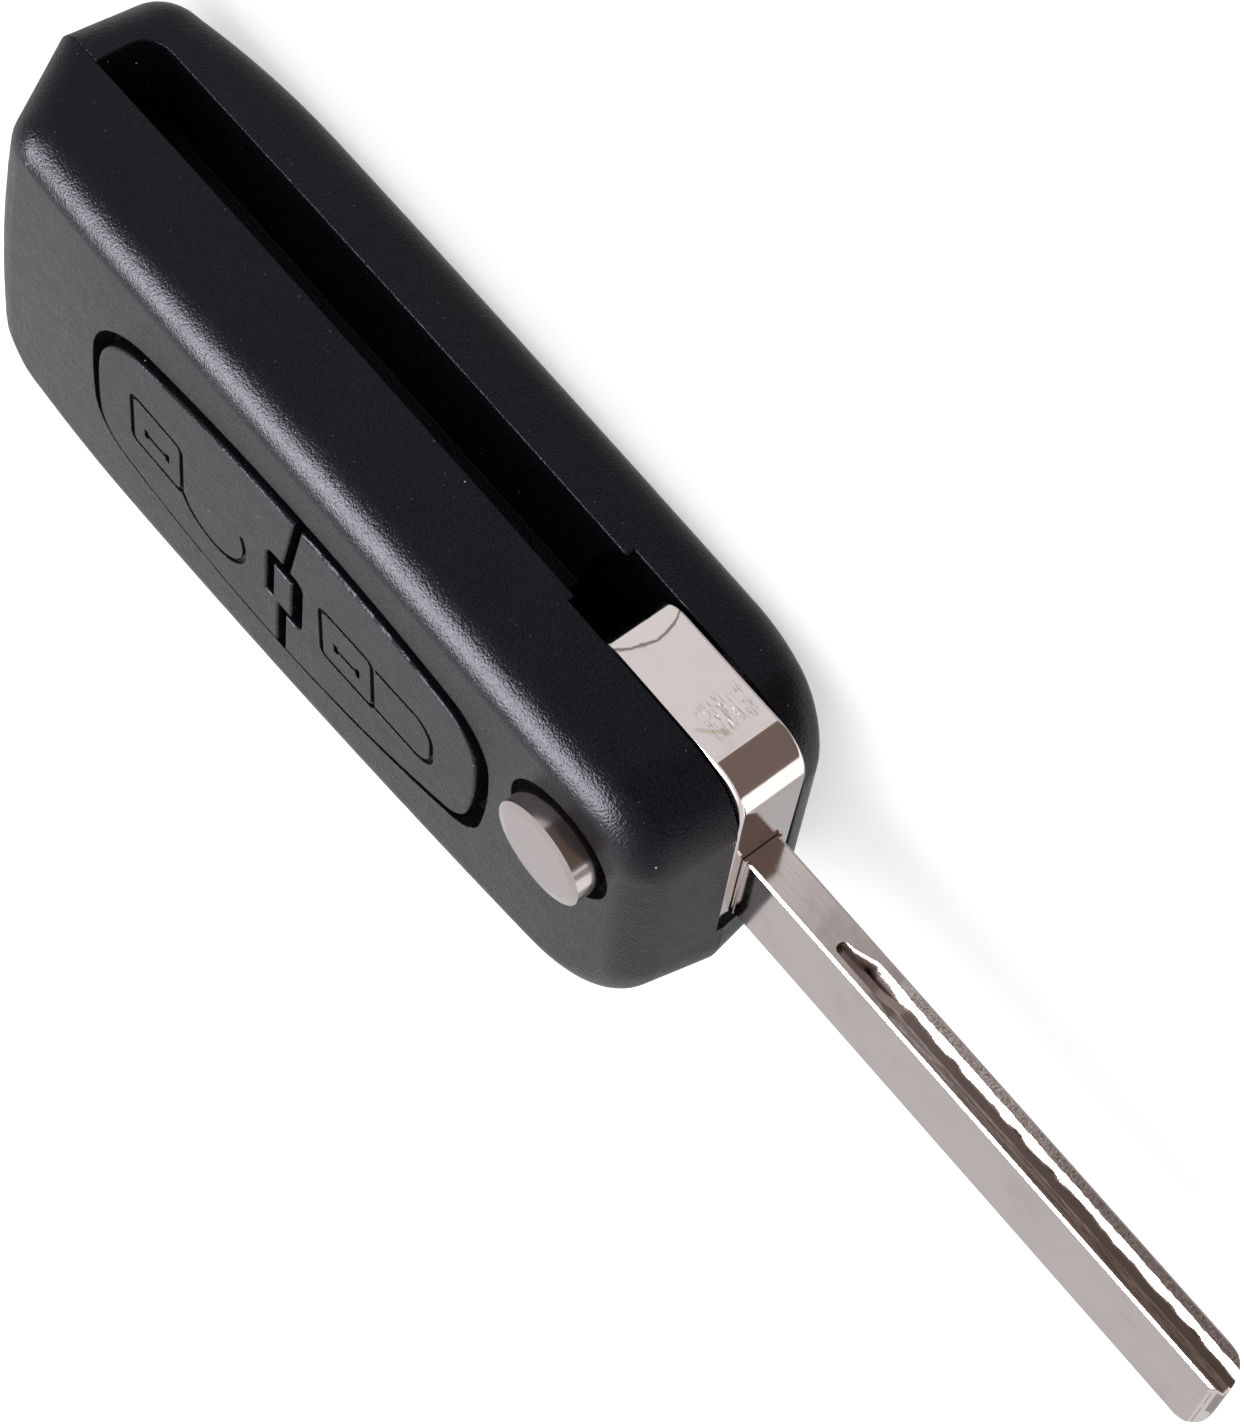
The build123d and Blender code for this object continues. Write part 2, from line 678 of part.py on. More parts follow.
tilt = Rot(0, 0, symbol_tilt)
pieces = {
    "front_shell": front_shell(),
    "rear_shell": rear_shell(),
    "unlock_button": button_cap(0, Pos(*open_lock) * padlock() + hook()),
    "lock_button": button_cap(1, Pos(*closed_lock) * tilt * (padlock() + shackle())),
    "button_mat": button_mat(),
    "board_frame": board_frame(),
    "contact_plus": contact(-1),
    "contact_minus": contact(1),
    "release_button": release_button(),
    "flip_spring": flip_spring(),
    "spring_seat": spring_seat(),
    "blade_head": blade_head(),
    "key_blade": key_blade(),
    "blade_pin": blade_pin(),
    "case_screw": case_screw(),
    "screw_insert": screw_insert(),
}

fob_box = pieces["front_shell"].bounding_box()
shift_x = -(fob_box.min.X + blade_tip) / 2
shift_y = -(fob_box.min.Y + fob_box.max.Y) / 2
os.makedirs("parts", exist_ok=True)
for name, piece in pieces.items():
    export_step(Pos(shift_x, shift_y, 0) * piece, f"parts/{name}.step")
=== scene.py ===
"""A flip key fob shell: finishes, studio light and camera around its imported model."""

import json
import logging
import math
import random
from dataclasses import dataclass, field
from enum import Enum
from typing import Optional, Union

import bmesh
import bpy
from mathutils import Euler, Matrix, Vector


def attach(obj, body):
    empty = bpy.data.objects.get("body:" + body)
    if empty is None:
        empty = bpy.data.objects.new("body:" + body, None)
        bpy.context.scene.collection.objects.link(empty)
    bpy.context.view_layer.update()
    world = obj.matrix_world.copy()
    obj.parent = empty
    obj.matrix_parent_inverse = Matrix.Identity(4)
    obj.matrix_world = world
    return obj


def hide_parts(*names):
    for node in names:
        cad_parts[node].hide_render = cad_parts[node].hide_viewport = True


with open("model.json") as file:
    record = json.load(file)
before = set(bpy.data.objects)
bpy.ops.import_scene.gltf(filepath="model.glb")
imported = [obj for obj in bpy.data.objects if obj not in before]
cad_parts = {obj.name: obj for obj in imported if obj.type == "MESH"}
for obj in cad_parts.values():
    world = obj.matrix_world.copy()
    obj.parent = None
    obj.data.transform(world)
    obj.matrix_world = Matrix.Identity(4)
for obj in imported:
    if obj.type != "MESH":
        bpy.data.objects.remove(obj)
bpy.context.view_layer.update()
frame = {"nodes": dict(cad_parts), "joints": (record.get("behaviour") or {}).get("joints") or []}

log = logging.getLogger("key_fob")

Colour = tuple[float, float, float]
Triple = tuple[float, float, float]
Pair = tuple[float, float]
Socket = bpy.types.NodeSocket
MM = 0.001


class Axis(Enum):
    """The direction that a run of marks or a brushed grain follows."""

    X = 0
    Y = 1
    Z = 2


def hinge() -> Vector:
    """Gives the blade's pivot, which the scene's own pieces and the camera are placed from."""
    joint = next(j for j in frame["joints"] if j["name"] == "blade_hinge")
    return Vector(joint["pos_m"])


class Bench:
    """Lays out the shader nodes of one material."""

    def __init__(self, name: str) -> None:
        """Starts an empty material with its shader and output.

        Args:
            name: The material's name.
        """
        self.material = bpy.data.materials.new(name)
        self.material.use_nodes = True
        tree = self.material.node_tree
        tree.nodes.clear()
        self.nodes = tree.nodes
        self.links = tree.links
        self.shader = self.nodes.new("ShaderNodeBsdfPrincipled")
        output = self.nodes.new("ShaderNodeOutputMaterial")
        self.links.new(self.shader.outputs["BSDF"], output.inputs["Surface"])
        self.place = self.nodes.new("ShaderNodeTexCoord").outputs["Object"]

    def feed(self, socket: Socket, value: Union[Socket, float, tuple]) -> None:
        """Links a socket into another, or sets it to a constant.

        Args:
            socket: The socket that is fed.
            value: An output socket, or a number, colour or vector.
        """
        if isinstance(value, bpy.types.NodeSocket):
            self.links.new(value, socket)
        elif isinstance(value, tuple) and socket.type == "RGBA":
            socket.default_value = (*value, 1.0)
        else:
            socket.default_value = value

    def mapped(self, centre: Triple = (0, 0, 0), turn: Triple = (0, 0, 0),
               stretch: Triple = (1, 1, 1)) -> Socket:
        """Gives the object's own coordinates, centred, turned and stretched.

        Args:
            centre: The point in millimetres that becomes the pattern's middle.
            turn: Turn about X, Y and Z in degrees.
            stretch: Factor on each axis of the pattern.

        Returns:
            The vector socket of the placed coordinates.
        """
        shift = self.nodes.new("ShaderNodeMapping")
        self.feed(shift.inputs["Vector"], self.place)
        shift.inputs["Location"].default_value = [-MM * c for c in centre]
        node = self.nodes.new("ShaderNodeMapping")
        self.feed(node.inputs["Vector"], shift.outputs["Vector"])
        node.inputs["Rotation"].default_value = [math.radians(t) for t in turn]
        node.inputs["Scale"].default_value = stretch
        return node.outputs["Vector"]

    def noise(self, grain: float, detail: float = 2.0, rough: float = 0.5,
              vector: Optional[Socket] = None, warp: float = 0.0) -> Socket:
        """Gives a cloudy pattern.

        Args:
            grain: Size of its blobs in millimetres.
            detail: Number of finer layers.
            rough: Strength of the finer layers.
            vector: Coordinates, or the object's own.
            warp: Distortion of the pattern.

        Returns:
            The socket with values around 0.5.
        """
        node = self.nodes.new("ShaderNodeTexNoise")
        self.feed(node.inputs["Vector"], vector or self.place)
        node.inputs["Scale"].default_value = 1 / (grain * MM)
        node.inputs["Detail"].default_value = detail
        node.inputs["Roughness"].default_value = rough
        node.inputs["Distortion"].default_value = warp
        return node.outputs[0]

    def cells(self, grain: float, vector: Optional[Socket] = None) -> tuple[Socket, Socket]:
        """Gives scattered points: the distance to the nearest one, and its random colour.

        Args:
            grain: Mean distance between the points in millimetres.
            vector: Coordinates, or the object's own.

        Returns:
            The distance socket, in units of grain, and the colour socket.
        """
        node = self.nodes.new("ShaderNodeTexVoronoi")
        self.feed(node.inputs["Vector"], vector or self.place)
        node.inputs["Scale"].default_value = 1 / (grain * MM)
        return node.outputs["Distance"], node.outputs["Color"]

    def ramp(self, value: Socket, low: float, high: float, start: float = 0.0,
             end: float = 1.0) -> Socket:
        """Maps a range of one value smoothly onto another range.

        Args:
            value: The input.
            low: The input that gives start.
            high: The input that gives end.
            start: Result at low and under it.
            end: Result at high and over it.

        Returns:
            The result socket.
        """
        node = self.nodes.new("ShaderNodeMapRange")
        node.interpolation_type = "SMOOTHSTEP"
        self.feed(node.inputs["Value"], value)
        node.inputs["From Min"].default_value = low
        node.inputs["From Max"].default_value = high
        node.inputs["To Min"].default_value = start
        node.inputs["To Max"].default_value = end
        return node.outputs["Result"]

    def sums(self, kind: str, first: Union[Socket, float], second: Union[Socket, float] = 0.0) -> Socket:
        """Does one sum on two values.

        Args:
            kind: The name of the operation, such as MULTIPLY.
            first: The first value.
            second: The second value.

        Returns:
            The result socket.
        """
        node = self.nodes.new("ShaderNodeMath")
        node.operation = kind
        self.feed(node.inputs[0], first)
        self.feed(node.inputs[1], second)
        return node.outputs[0]

    def blend(self, share: Socket, base: Union[Socket, Colour], over: Union[Socket, Colour]) -> Socket:
        """Mixes two colours.

        Args:
            share: How much of the second shows, from 0 to 1.
            base: The first colour.
            over: The second colour.

        Returns:
            The mixed colour.
        """
        node = self.nodes.new("ShaderNodeMix")
        node.data_type = "RGBA"
        self.feed(node.inputs[0], share)
        self.feed(node.inputs[6], base)
        self.feed(node.inputs[7], over)
        return node.outputs[2]

    def product(self, *values: Union[Socket, float]) -> Socket:
        """Multiplies two or more values, in their order.

        Args:
            values: The values.

        Returns:
            The result socket.
        """
        total = values[0]
        for value in values[1:]:
            total = self.sums("MULTIPLY", total, value)
        return total

    def stain(self, share: Socket, strength: float, base: Union[Socket, Colour],
              over: Union[Socket, Colour]) -> Socket:
        """Lays a colour over another where a mark is, at some strength.

        Args:
            share: The mark, from 0 to 1.
            strength: How much of the second colour shows where the mark is full.
            base: The first colour.
            over: The second colour.

        Returns:
            The mixed colour.
        """
        return self.blend(self.product(share, strength), base, over)

    def specks(self, spacing: float, small: float, large: float, share: float) -> Socket:
        """Scatters round specks.

        Args:
            spacing: Mean distance between the places of specks in millimetres.
            small: Least radius, in units of spacing.
            large: Greatest radius.
            share: Share of the places that hold one.

        Returns:
            The socket that is 1 on a speck.
        """
        distance, shade = self.cells(spacing)
        red, green, _ = self.split(shade)
        near = self.sums("LESS_THAN", distance, self.ramp(green, 0.0, 1.0, small, large))
        return self.product(near, self.sums("LESS_THAN", red, share))

    def split(self, vector: Socket) -> tuple[Socket, Socket, Socket]:
        """Splits a vector or colour into its three values.

        Args:
            vector: The vector or colour.

        Returns:
            The sockets of its three values.
        """
        node = self.nodes.new("ShaderNodeSeparateXYZ")
        self.feed(node.inputs[0], vector)
        return node.outputs[0], node.outputs[1], node.outputs[2]

    def window(self, value: Socket, low: float, high: float, fade: float) -> Socket:
        """Gives 1 between two limits in millimetres, fading to 0 outside them.

        Args:
            value: A coordinate.
            low: Lower limit in millimetres.
            high: Upper limit in millimetres.
            fade: Half the width of each fade in millimetres.

        Returns:
            The socket of the window.
        """
        rise = self.ramp(value, MM * (low - fade), MM * (low + fade))
        fall = self.ramp(value, MM * (high - fade), MM * (high + fade), 1.0, 0.0)
        return self.product(rise, fall)

    def relief(self, height: Socket, depth: float, under: Optional[Socket] = None) -> Socket:
        """Turns a height pattern into a bumpy normal.

        Args:
            height: The pattern, from 0 to 1.
            depth: Height of 1 in millimetres.
            under: A normal that this one lies on.

        Returns:
            The normal socket.
        """
        node = self.nodes.new("ShaderNodeBump")
        self.feed(node.inputs["Height"], height)
        node.inputs["Distance"].default_value = depth * MM
        if under is not None:
            self.feed(node.inputs["Normal"], under)
        return node.outputs["Normal"]

    def rounded(self, radius: float) -> Socket:
        """Gives the normal of the shape with its sharp edges broken.

        Args:
            radius: Radius of the broken edges in millimetres.

        Returns:
            The normal socket.
        """
        node = self.nodes.new("ShaderNodeBevel")
        node.samples = 8
        node.inputs["Radius"].default_value = radius * MM
        return node.outputs["Normal"]

    def finish(self, colour: Union[Socket, Colour], rough: Union[Socket, float],
               normal: Optional[Socket] = None, metallic: float = 0.0, gloss: float = 0.5,
               tint: Colour = (1.0, 1.0, 1.0)) -> bpy.types.Material:
        """Connects the finished patterns to the shader.

        Args:
            colour: The base colour.
            rough: The roughness.
            normal: The bumpy normal.
            metallic: 1 for bare or plated metal.
            gloss: The specular level of a surface that isn't metal.
            tint: The colour of its reflections.

        Returns:
            The material.
        """
        self.shader.inputs["Specular Tint"].default_value = (*tint, 1.0)
        self.feed(self.shader.inputs["Base Color"], colour)
        self.feed(self.shader.inputs["Roughness"], rough)
        self.shader.inputs["Metallic"].default_value = metallic
        self.shader.inputs["Specular IOR Level"].default_value = gloss
        if normal is not None:
            self.feed(self.shader.inputs["Normal"], normal)
        return self.material


@dataclass(frozen=True)
class Specks:
    """One size of dust or pits: spacing in millimetres, radii in units of it, and its strength."""

    spacing: float
    small: float
    large: float
    share: float
    strength: float
    colour: Colour

    def lay(self, bench: Bench, tint: Union[Socket, Colour], amount: float = 1.0) -> Socket:
        """Lays the specks over a colour.

        Args:
            bench: The material that they lie on.
            tint: The colour under them.
            amount: Factor on their share.

        Returns:
            The colour with the specks on it.
        """
        found = bench.specks(self.spacing, self.small, self.large, self.share * amount)
        return bench.stain(found, self.strength, tint, self.colour)


@dataclass(frozen=True)
class MouldedPlastic:
    """Black moulded plastic with a fine spark-eroded grain, scuffed clouds, painted sparkle and dust."""

    name: str
    colour: Colour = (0.0044, 0.0042, 0.0060)
    scuff: Colour = (0.0070, 0.0068, 0.0082)
    scuff_size: float = 5.0
    # painted sparkle: the pale colour of specks that stand in for glints off the grain
    painted_sparkle: Colour = (0.024, 0.023, 0.029)
    painted_sparkle_size: float = 0.15
    sheen_tint: Colour = (0.85, 0.84, 0.97)
    rough: float = 0.27
    gloss: float = 0.166
    grain: float = 0.17
    coarse: float = 0.34
    grain_share: float = 0.7
    depth: float = 0.066
    wear_size: float = 1.8
    dust: float = 0.30
    fine_dust: Specks = Specks(0.55, 0.05, 0.11, 0.8, 0.30, (0.30, 0.30, 0.31))
    bright_dust: Specks = Specks(1.9, 0.018, 0.045, 1.0, 0.9, (0.60, 0.59, 0.57))
    edge: float = 0.12

    def tint(self, bench: Bench) -> Socket:
        """Gives the colour, with scuffed clouds, pale specks painted in as sparkle off the grain, and dust.

        Args:
            bench: The material.

        Returns:
            The socket of the colour.
        """
        cloud = bench.noise(self.scuff_size, 4.0, 0.65)
        tint = bench.blend(bench.ramp(cloud, 0.35, 0.75, 0.0, 0.6), self.colour, self.scuff)
        # painted sparkle: pale specks laid into the colour in place of glints off the grain
        sparkle_spots = bench.noise(self.painted_sparkle_size, 1.0, 0.6)
        tint = bench.blend(bench.ramp(sparkle_spots, 0.42, 0.72, 0.0, 0.30), tint, self.painted_sparkle)
        tint = self.fine_dust.lay(bench, tint, self.dust)
        return self.bright_dust.lay(bench, tint, self.dust)

    def material(self) -> bpy.types.Material:
        """Builds the material.

        Returns:
            The material.
        """
        bench = Bench(self.name)
        tint = self.tint(bench)
        pores = bench.noise(self.grain, 2.0, 0.55)
        pits = bench.noise(self.coarse, 2.0, 0.5)
        height = bench.sums("ADD", bench.product(pores, self.grain_share),
                            bench.product(pits, 1.0 - self.grain_share))
        normal = bench.relief(height, self.depth, bench.rounded(self.edge))
        clouds = bench.noise(self.wear_size, 3.0, 0.6)
        wear = bench.ramp(clouds, 0.3, 0.75, self.rough - 0.03, self.rough + 0.04)
        wear = bench.sums("ADD", wear, bench.ramp(pores, 0.34, 0.66, -0.04, 0.04))
        return bench.finish(tint, wear, normal, gloss=self.gloss, tint=self.sheen_tint)


@dataclass(frozen=True)
class SoftRubber:
    """The matt black rubber of the button mat."""

    name: str
    colour: Colour = (0.012, 0.012, 0.013)
    bloom: Colour = (0.035, 0.034, 0.034)
    rough: float = 0.72
    grain: float = 0.16
    depth: float = 0.006

    def material(self) -> bpy.types.Material:
        """Builds the material.

        Returns:
            The material.
        """
        bench = Bench(self.name)
        cloud = bench.ramp(bench.noise(3.0, 4.0, 0.6), 0.35, 0.8, 0.0, 0.5)
        tint = bench.blend(cloud, self.colour, self.bloom)
        normal = bench.relief(bench.noise(self.grain, 3.0, 0.6), self.depth)
        return bench.finish(tint, self.rough, normal, gloss=0.25)


@dataclass(frozen=True)
class Plating:
    """Nickel plating with fine brush lines, handling smudges and small dents."""

    name: str
    colour: Colour
    stain: Colour = (0.44, 0.385, 0.355)
    rough: float = 0.16
    brushed: Axis = Axis.Y
    brush_run: float = 0.035
    brush_depth: float = 0.0002
    smudge: float = 0.2
    smudge_size: float = 4.0
    pits: Specks = Specks(0.55, 0.03, 0.10, 0.22, 0.45, (0.30, 0.26, 0.24))
    dent_size: float = 1.7
    dent_depth: float = 0.0025

    def material(self) -> bpy.types.Material:
        """Builds the material.

        Returns:
            The material.
        """
        bench = Bench(self.name)
        stretch = [1.0, 1.0, 1.0]
        stretch[self.brushed.value] = self.brush_run
        lines = bench.noise(0.09, 3.0, 0.6, bench.mapped(stretch=tuple(stretch)))
        patch = bench.ramp(bench.noise(self.smudge_size, 4.0, 0.6), 0.48, 0.78, 0.0, self.smudge)
        tint = self.pits.lay(bench, bench.blend(patch, self.colour, self.stain))
        rough = bench.ramp(lines, 0.3, 0.7, self.rough - 0.03, self.rough + 0.05)
        rough = bench.sums("ADD", rough, bench.product(patch, 0.10))
        normal = bench.relief(lines, self.brush_depth)
        normal = bench.relief(bench.noise(self.dent_size, 2.0, 0.5), self.dent_depth, normal)
        return bench.finish(tint, rough, normal, metallic=1.0)


@dataclass(frozen=True)
class HeadNickel:
    """Polished nickel of the head, with painted shade along a wavy crease and a painted lighter facet beyond
    it, a fan of scratches and a stained streak.

    Places are in millimetres from the pivot; a pair is the least and the greatest of a range.
    """

    name: str = "head_polished_nickel"
    colour: Colour = (0.74, 0.675, 0.655)
    cloudy: Colour = (0.55, 0.47, 0.43)
    # painted highlight: the paler colour of the facet beyond the crease
    pale: Colour = (0.80, 0.74, 0.70)
    scratched: Colour = (0.36, 0.30, 0.27)
    # painted shade: the dark colour of the crease line
    dark: Colour = (0.16, 0.115, 0.09)
    stain: Colour = (0.50, 0.40, 0.26)
    rough: float = 0.09
    flat_from: Pair = (5.0, 6.0)
    crease: Pair = (-4.06, -3.84)
    crease_bow: float = 0.14
    crease_waver: float = 1.1
    scratch_x: Pair = (1.2, 3.9)
    scratch_z: Pair = (-2.0, 1.5)
    scratch_turn: float = 12.0
    streak: Pair = (4.1, 4.5)
    streak_z: Pair = (0.5, 2.1)
    streak_slant: float = 0.9

    def marks(self, bench: Bench) -> tuple[Socket, Socket, Socket, Socket]:
        """Places the crease's painted shade, the painted lighter facet beyond it and the marks of wear on the
        flat that looks out of the slot.

        Args:
            bench: The material that they lie on.

        Returns:
            The crease's painted shade, the painted lighter part beyond it, the scratches and the streak, from
            0 to 1.
        """
        x, y, z = bench.split(bench.mapped(tuple(c / MM for c in hinge())))
        on_flat = bench.ramp(y, MM * self.flat_from[0], MM * self.flat_from[1])
        waver = bench.product(bench.sums("SUBTRACT", bench.noise(1.6, 2.0), 0.5), self.crease_waver * MM)
        bowed = bench.product(z, z, self.crease_bow / MM)
        crease_at = bench.sums("ADD", bench.sums("ADD", x, bowed), waver)
        crease = bench.product(bench.window(crease_at, *self.crease, 0.09), on_flat)
        middle = sum(self.crease) / 2
        beyond = bench.product(bench.ramp(crease_at, MM * middle, MM * (middle + 0.05), 1.0, 0.0), on_flat)
        along = bench.mapped(turn=(0, self.scratch_turn, 0), stretch=(0.10, 1.0, 1.0))
        strokes = bench.noise(0.10, 2.0, 0.7, along, 0.3)
        fan = bench.product(bench.window(x, *self.scratch_x, 0.3), bench.window(z, *self.scratch_z, 0.3),
                            on_flat, bench.ramp(strokes, 0.56, 0.64))
        slanted = bench.sums("ADD", x, bench.product(z, self.streak_slant))
        streak = bench.product(bench.window(slanted, *self.streak, 0.12),
                               bench.window(z, *self.streak_z, 0.25), on_flat)
        return crease, beyond, fan, streak

    def material(self) -> bpy.types.Material:
        """Builds the material.

        Returns:
            The material.
        """
        bench = Bench(self.name)
        crease, beyond, fan, streak = self.marks(bench)
        cloud = bench.ramp(bench.noise(3.2, 4.0, 0.6), 0.48, 0.75, 0.0, 0.22)
        tint = bench.blend(cloud, self.colour, self.cloudy)
        # painted highlight: the facet beyond the crease is made paler
        tint = bench.stain(beyond, 0.35, tint, self.pale)
        tint = bench.stain(streak, 0.55, tint, self.stain)
        tint = bench.stain(fan, 0.75, tint, self.scratched)
        # painted shade: a dark line is laid along the crease
        tint = bench.stain(crease, 0.85, tint, self.dark)
        lines = bench.noise(0.09, 3.0, 0.6, bench.mapped(stretch=(1.0, 1.0, 0.05)))
        rough = bench.ramp(lines, 0.3, 0.7, self.rough - 0.02, self.rough + 0.05)
        normal = bench.relief(lines, 0.0004)
        normal = bench.relief(bench.noise(1.7, 2.0, 0.5), 0.010, normal)
        normal = bench.relief(bench.product(fan, -1.0), 0.006, normal)
        return bench.finish(tint, rough, normal, metallic=1.0)


@dataclass(frozen=True)
class BareMetal:
    """Spring steel, screw steel, contact metal or brass, drawn or turned and slightly dull."""

    name: str
    colour: Colour
    rough: float = 0.3
    turned: Axis = Axis.Z

    def material(self) -> bpy.types.Material:
        """Builds the material.

        Returns:
            The material.
        """
        bench = Bench(self.name)
        stretch = [0.2, 0.2, 0.2]
        stretch[self.turned.value] = 1.0
        lines = bench.noise(0.08, 2.0, 0.5, bench.mapped(stretch=tuple(stretch)))
        dull = bench.ramp(bench.noise(1.5, 3.0, 0.6), 0.35, 0.75)
        dark = tuple(0.62 * c for c in self.colour)
        tint = bench.stain(dull, 0.5, self.colour, dark)
        rough = bench.ramp(lines, 0.3, 0.7, self.rough - 0.06, self.rough + 0.08)
        return bench.finish(tint, rough, bench.relief(lines, 0.001), metallic=1.0)


def dress(node: str, material: bpy.types.Material) -> None:
    """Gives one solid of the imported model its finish.

    Args:
        node: The solid's name.
        material: The finish.
    """
    mesh = frame["nodes"][node].data
    mesh.materials.clear()
    mesh.materials.append(material)
    log.info("%s: %s, %d faces", node, material.name, len(mesh.polygons))


@dataclass
class Housing:
    """The two moulded halves of the fob, with the screw that holds them."""

    plastic: MouldedPlastic = field(default_factory=lambda: MouldedPlastic("case_grained_plastic"))
    rubbed: MouldedPlastic = field(default_factory=lambda: MouldedPlastic("case_rubbed_plastic", edge=0.26))
    steel: BareMetal = field(default_factory=lambda: BareMetal(
        "screw_zinc_steel", (0.46, 0.45, 0.44), 0.28))
    brass: BareMetal = field(default_factory=lambda: BareMetal(
        "insert_turned_brass", (0.66, 0.47, 0.21), 0.26))

    def dress(self) -> None:
        """Gives the halves, the screw and its insert their finishes."""
        dress("front_shell", self.plastic.material())
        dress("rear_shell", self.rubbed.material())
        dress("case_screw", self.steel.material())
        dress("screw_insert", self.brass.material())


@dataclass
class Buttons:
    """The two caps, the rubber mat under them and the frame and contacts behind it."""

    plastic: MouldedPlastic = field(default_factory=lambda: MouldedPlastic(
        "cap_grained_plastic", rough=0.28, depth=0.065, dust=0.3, gloss=0.155))
    frame_plastic: MouldedPlastic = field(default_factory=lambda: MouldedPlastic(
        "frame_plain_plastic", colour=(0.02, 0.02, 0.021), rough=0.5, gloss=0.4, dust=0.0))
    rubber: SoftRubber = field(default_factory=lambda: SoftRubber("mat_black_rubber"))
    contact: BareMetal = field(default_factory=lambda: BareMetal(
        "contact_tinned_bronze", (0.62, 0.58, 0.50), 0.24))

    def dress(self) -> None:
        """Gives the caps, mat, frame and contacts their finishes."""
        caps = self.plastic.material()
        dress("unlock_button", caps)
        dress("lock_button", caps)
        dress("button_mat", self.rubber.material())
        dress("board_frame", self.frame_plastic.material())
        contact = self.contact.material()
        dress("contact_plus", contact)
        dress("contact_minus", contact)


@dataclass(frozen=True)
class GroovedSteel:
    """Nickelled steel of the blade: milled groove, beaten band, streaks and handling marks, with painted
    shade: a darker colour on the wide faces, a dark groove floor and thin dark lines beside the chamfers.

    Places are in millimetres, along the blade from the pivot, across it from its middle, and up
    from its middle on the slot side; the other edge is the same, turned half round.
    """

    name: str = "blade_satin_nickel"
    colour: Colour = (0.64, 0.58, 0.555)
    # painted shade: the darker colour of the wide faces, against the lighter edges
    face_painted_shade: Colour = (0.485, 0.43, 0.415)
    stain: Colour = (0.37, 0.32, 0.295)
    # painted shade: the dark colour of the groove's floor and of the lines beside the chamfers
    painted_shade: Colour = (0.20, 0.145, 0.125)
    beaten: Colour = (0.36, 0.29, 0.25)
    browned: Colour = (0.20, 0.155, 0.135)
    milled: Colour = (0.30, 0.25, 0.225)
    rough: float = 0.10
    middle: float = -4.74
    groove: float = 3.52
    rim: float = 3.80
    face_from: Pair = (1.42, 1.48)
    worked_from: Pair = (20.5, 22.5)
    browned_from: Pair = (30.0, 40.0)
    beaten_z: Pair = (-1.34, -0.66)
    ledge_z: Pair = (0.60, 1.16)
    floor_z: Pair = (-0.17, 1.25)
    line_z: Pair = (1.345, 1.375)
    line_fade: float = 0.012
    zone_fade: float = 0.03
    rim_fade: float = 0.08
    groove_fade: float = 0.04
    smudge: float = 0.45
    pits: Specks = Specks(0.9, 0.04, 0.12, 0.30, 0.5, (0.26, 0.21, 0.19))
    beaten_depth: float = 0.05
    milled_depth: float = 0.02

    def lines(self, bench: Bench, z: Socket) -> Socket:
        """Gives the thin lines of painted shade beside the chamfers, broken here and there.

        Args:
            bench: The material that they lie on.
            z: Height over the blade's middle.

        Returns:
            The socket that is 1 on a line.
        """
        broken = bench.ramp(bench.noise(1.6, 2.0), 0.35, 0.5)
        high = bench.sums("ABSOLUTE", z)
        return bench.product(bench.window(high, *self.line_z, self.line_fade), broken)

    def zones(self, bench: Bench, x: Socket, y: Socket, z: Socket) -> tuple[Socket, Socket, Socket]:
        """Finds the parts of both edges that were milled or beaten.

        Args:
            bench: The material.
            x: Distance from the pivot along the blade.
            y: Distance from the pivot across it.
            z: Height over the blade's middle.

        Returns:
            The beaten band, the ledge and the groove's floor, from 0 to 1.
        """
        offset = bench.sums("SUBTRACT", y, self.middle * MM)
        across = bench.sums("ABSOLUTE", offset)
        turned = bench.product(bench.sums("SIGN", offset), z)
        on_rim = bench.ramp(across, MM * (self.rim - self.rim_fade), MM * self.rim)
        edge = bench.product(on_rim, bench.ramp(x, *(MM * d for d in self.worked_from)))
        beaten = bench.product(edge, bench.window(turned, *self.beaten_z, self.zone_fade))
        ledge = bench.product(edge, bench.window(turned, *self.ledge_z, self.zone_fade))
        deep = bench.ramp(across, MM * (self.groove - self.groove_fade),
                          MM * (self.groove + self.groove_fade), 1.0, 0.0)
        floor = bench.product(deep, bench.window(turned, *self.floor_z, self.zone_fade))
        return beaten, ledge, floor

    def material(self) -> bpy.types.Material:
        """Builds the material.

        Returns:
            The material.
        """
        bench = Bench(self.name)
        x, y, z = bench.split(bench.mapped(tuple(c / MM for c in hinge())))
        beaten, ledge, floor = self.zones(bench, x, y, z)
        lines = bench.noise(0.09, 3.0, 0.6, bench.mapped(stretch=(0.035, 1.0, 1.0)))
        streaks = bench.noise(0.13, 3.0, 0.65, bench.mapped(stretch=(0.07, 1.0, 1.0)))
        hammer = bench.noise(0.15, 3.0, 0.6, warp=0.4)
        patch = bench.ramp(bench.noise(4.0, 4.0, 0.6), 0.46, 0.76, 0.0, self.smudge)
        # painted shade: the wide faces take a darker colour than the edges
        face = bench.ramp(bench.sums("ABSOLUTE", z), *(MM * d for d in self.face_from))
        tint = bench.blend(patch, bench.blend(face, self.colour, self.face_painted_shade), self.stain)
        tint = self.pits.lay(bench, tint)
        hollows = bench.product(beaten, bench.ramp(hammer, 0.40, 0.56, 0.85, 0.0))
        tint = bench.blend(hollows, tint, self.beaten)
        far = bench.ramp(x, *(MM * d for d in self.browned_from), 0.0, 0.55)
        tint = bench.blend(bench.product(beaten, far), tint, self.browned)
        cuts = bench.product(ledge, bench.ramp(streaks, 0.40, 0.56, 0.8, 0.0))
        tint = bench.blend(cuts, tint, self.milled)
